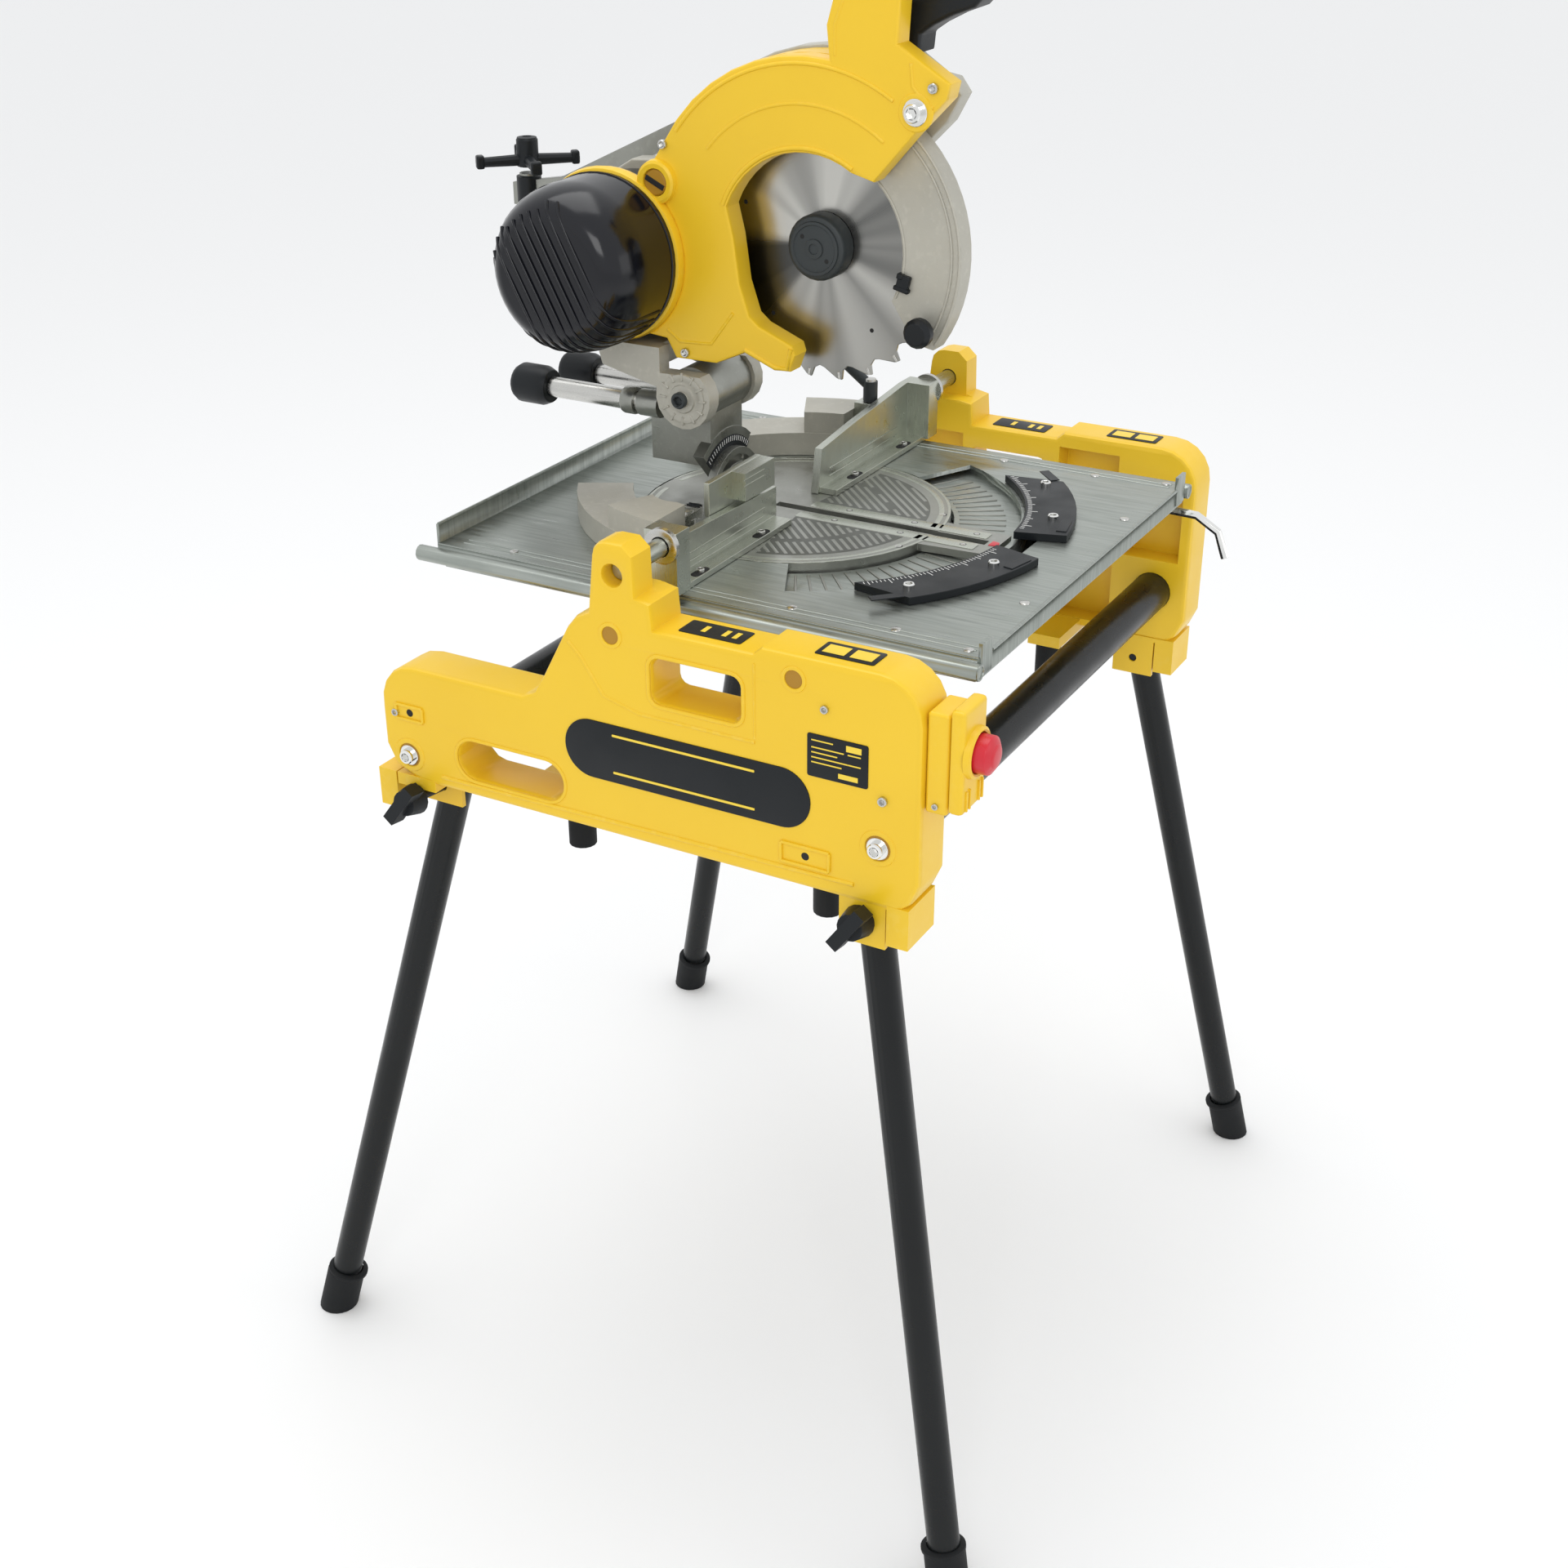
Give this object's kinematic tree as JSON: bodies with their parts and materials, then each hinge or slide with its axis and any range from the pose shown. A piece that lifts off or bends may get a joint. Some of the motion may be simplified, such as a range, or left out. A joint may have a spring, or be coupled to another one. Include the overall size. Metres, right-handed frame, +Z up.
{
  "type": "mitre saw on stand",
  "caption": "Flip-over mitre saw: yellow sided table frame on splayed black tubular legs, turntable with fence, tilting and chopping saw head with guarded blade and motor",
  "frame": {"origin": "middle of the bounding box at floor level, which is the floor point under the middle of the four feet", "axes": "+X to the operator's right, -Y towards the operator, +Z up; the blade plane is x = 0"},
  "size_m": [0.8554, 0.7998, 1.434],
  "materials": {
    "yellow_paint": "moulded and painted safety yellow, satin",
    "black_tube": "gloss black powder coat on steel tube",
    "black_rubber": "matt black rubber",
    "black_plastic": "grained black plastic",
    "motor_black": "polished black plastic",
    "grey_plastic": "dark grey plastic",
    "red_plastic": "glossy red plastic",
    "galvanised_sheet": "galvanised sheet steel with a soft sheen",
    "cast_aluminium": "machined and cast aluminium",
    "painted_casting": "beige-grey painted aluminium casting",
    "bright_steel": "brushed and plated steel"
  },
  "bodies": {
    "stand": {"left_housing": "yellow_paint", "right_housing": "yellow_paint", "front_stretcher": "black_tube", "rear_stretcher": "black_tube", "bench_foot_front_left": "black_rubber", "bench_foot_front_right": "black_rubber", "bench_foot_rear_left": "black_rubber", "bench_foot_rear_right": "black_rubber", "switch_box": "yellow_paint", "cable_hook": "black_plastic"},
    "flap": {"stop_flap": "yellow_paint"},
    "button": {"stop_button": "red_plastic"},
    "table": {"table_plate": "galvanised_sheet", "bench_plate": "galvanised_sheet", "fence_left": "cast_aluminium", "fence_right": "cast_aluminium", "wing_left": "painted_casting", "wing_right": "painted_casting", "mitre_scale_left": "black_plastic", "mitre_scale_right": "black_plastic"},
    "latch": {"table_latch": "bright_steel"},
    "slider": {"fence_slider": "cast_aluminium"},
    "lever": {"fence_lever": "grey_plastic"},
    "clamp_knob": {"mitre_knob": "bright_steel"},
    "turntable": {"turntable": "cast_aluminium", "tilt_seat": "cast_aluminium"},
    "tilt": {"tilt_arm": "cast_aluminium", "rear_rod_left": "bright_steel", "rear_rod_right": "bright_steel", "rod_cap_left": "black_plastic", "rod_cap_right": "black_plastic"},
    "head": {"head_casting": "painted_casting", "blade_cover": "yellow_paint", "motor_housing": "motor_black", "belt_cover": "black_plastic", "drive_belt": "black_rubber", "handle_grip": "black_plastic", "adjuster_bracket": "cast_aluminium"},
    "trigger": {"trigger": "red_plastic"},
    "adjuster": {"adjuster_knob": "black_plastic"},
    "blade_set": {"blade": "bright_steel", "spindle": "bright_steel", "arbor_cap": "grey_plastic"},
    "motor_set": {"motor_shaft": "bright_steel"},
    "guard": {"lower_guard": "painted_casting", "guard_knob": "black_plastic"},
    "leg_front_left": {"leg_front_left": "black_tube", "leg_foot_front_left": "black_rubber"},
    "knob_front_left": {"leg_knob_front_left": "black_plastic"},
    "leg_front_right": {"leg_front_right": "black_tube", "leg_foot_front_right": "black_rubber"},
    "knob_front_right": {"leg_knob_front_right": "black_plastic"},
    "leg_rear_left": {"leg_rear_left": "black_tube", "leg_foot_rear_left": "black_rubber"},
    "knob_rear_left": {"leg_knob_rear_left": "black_plastic"},
    "leg_rear_right": {"leg_rear_right": "black_tube", "leg_foot_rear_right": "black_rubber"},
    "knob_rear_right": {"leg_knob_rear_right": "black_plastic"}
  },
  "joints": [
    {"name": "table_flip", "type": "hinge", "parent": "stand", "child": "table", "pos_m": [0, -0.0055, 0.922], "axis": [1, 0, 0], "range_deg": [-35, 0]},
    {"name": "mitre_turn", "type": "hinge", "parent": "table", "child": "turntable", "pos_m": [0, 0.0075, 0.872], "axis": [0, 0, 1], "range_deg": [-50, 50]},
    {"name": "bevel_tilt", "type": "hinge", "parent": "turntable", "child": "tilt", "pos_m": [0, 0.0845, 0.872], "axis": [0, 1, 0], "range_deg": [-45, 0]},
    {"name": "chop", "type": "hinge", "parent": "tilt", "child": "head", "pos_m": [0, 0.1025, 0.98], "axis": [1, 0, 0], "range_deg": [0, 50], "stiffness_Nm_per_rad": 14, "springref_deg": -57.3},
    {"name": "blade_spin", "type": "hinge", "parent": "head", "child": "blade_set", "pos_m": [0, -0.0225, 1.129], "axis": [1, 0, 0], "continuous": true},
    {"name": "motor_spin", "type": "hinge", "parent": "head", "child": "motor_set", "pos_m": [0, 0.1845, 1.106], "axis": [1, 0, 0], "continuous": true},
    {"name": "guard_swing", "type": "hinge", "parent": "head", "child": "guard", "pos_m": [0, -0.0225, 1.129], "axis": [1, 0, 0], "range_deg": [-54, 0]},
    {"name": "trigger_pull", "type": "slide", "parent": "head", "child": "trigger", "axis": [0, -1, 0], "range_m": [0, 0.0035], "stiffness_N_per_m": 300, "springref_m": -0.003},
    {"name": "adjuster_turn", "type": "hinge", "parent": "head", "child": "adjuster", "pos_m": [0.055, 0.3445, 1.1565], "axis": [0, 0, 1], "continuous": true},
    {"name": "fence_slide", "type": "slide", "parent": "table", "child": "slider", "axis": [-1, 0, 0], "range_m": [0, 0.06]},
    {"name": "fence_lever_turn", "type": "hinge", "parent": "table", "child": "lever", "pos_m": [0.19, 0.025, 0.9255], "axis": [0, 0, -1], "range_deg": [0, 90]},
    {"name": "clamp_knob_turn", "type": "hinge", "parent": "table", "child": "clamp_knob", "pos_m": [-0.125, 0.0575, 0.872], "axis": [0, 0, 1], "continuous": true},
    {"name": "latch_turn", "type": "hinge", "parent": "table", "child": "latch", "pos_m": [0.25, -0.2845, 0.8405], "axis": [1, 0, 0], "range_deg": [0, 25]},
    {"name": "flap_lift", "type": "hinge", "parent": "stand", "child": "flap", "pos_m": [-0.32, -0.3075, 0.8645], "axis": [-1, 0, 0], "range_deg": [0, 60]},
    {"name": "stop_press", "type": "slide", "parent": "flap", "child": "button", "axis": [0, 1, 0], "range_m": [0, 0.004], "stiffness_N_per_m": 300, "springref_m": -0.002},
    {"name": "fold_front_left", "type": "hinge", "parent": "stand", "child": "leg_front_left", "pos_m": [-0.3185, -0.244, 0.655], "axis": [0.9909, 0, -0.1346], "range_deg": [0, 95]},
    {"name": "fold_front_right", "type": "hinge", "parent": "stand", "child": "leg_front_right", "pos_m": [0.3185, -0.244, 0.655], "axis": [0.9909, 0, 0.1346], "range_deg": [0, 95]},
    {"name": "knob_turn_front_left", "type": "hinge", "parent": "stand", "child": "knob_front_left", "pos_m": [-0.3185, -0.244, 0.655], "axis": [0.9909, 0, -0.1346], "continuous": true},
    {"name": "knob_turn_front_right", "type": "hinge", "parent": "stand", "child": "knob_front_right", "pos_m": [0.3185, -0.244, 0.655], "axis": [0.9909, 0, 0.1346], "continuous": true},
    {"name": "fold_rear_left", "type": "hinge", "parent": "stand", "child": "leg_rear_left", "pos_m": [-0.283, 0.223, 0.648], "axis": [-0.9907, 0, 0.1361], "range_deg": [0, 95]},
    {"name": "fold_rear_right", "type": "hinge", "parent": "stand", "child": "leg_rear_right", "pos_m": [0.283, 0.223, 0.648], "axis": [-0.9907, 0, -0.1361], "range_deg": [0, 95]},
    {"name": "knob_turn_rear_left", "type": "hinge", "parent": "stand", "child": "knob_rear_left", "pos_m": [-0.283, 0.223, 0.648], "axis": [0.9907, 0, -0.1361], "continuous": true},
    {"name": "knob_turn_rear_right", "type": "hinge", "parent": "stand", "child": "knob_rear_right", "pos_m": [0.283, 0.223, 0.648], "axis": [0.9907, 0, 0.1361], "continuous": true}
  ],
  "couplings": [
    {"joint": "guard_swing", "follows": "chop", "ratio": -1.06},
    {"joint": "motor_spin", "follows": "blade_spin", "ratio": 1.2}
  ]
}
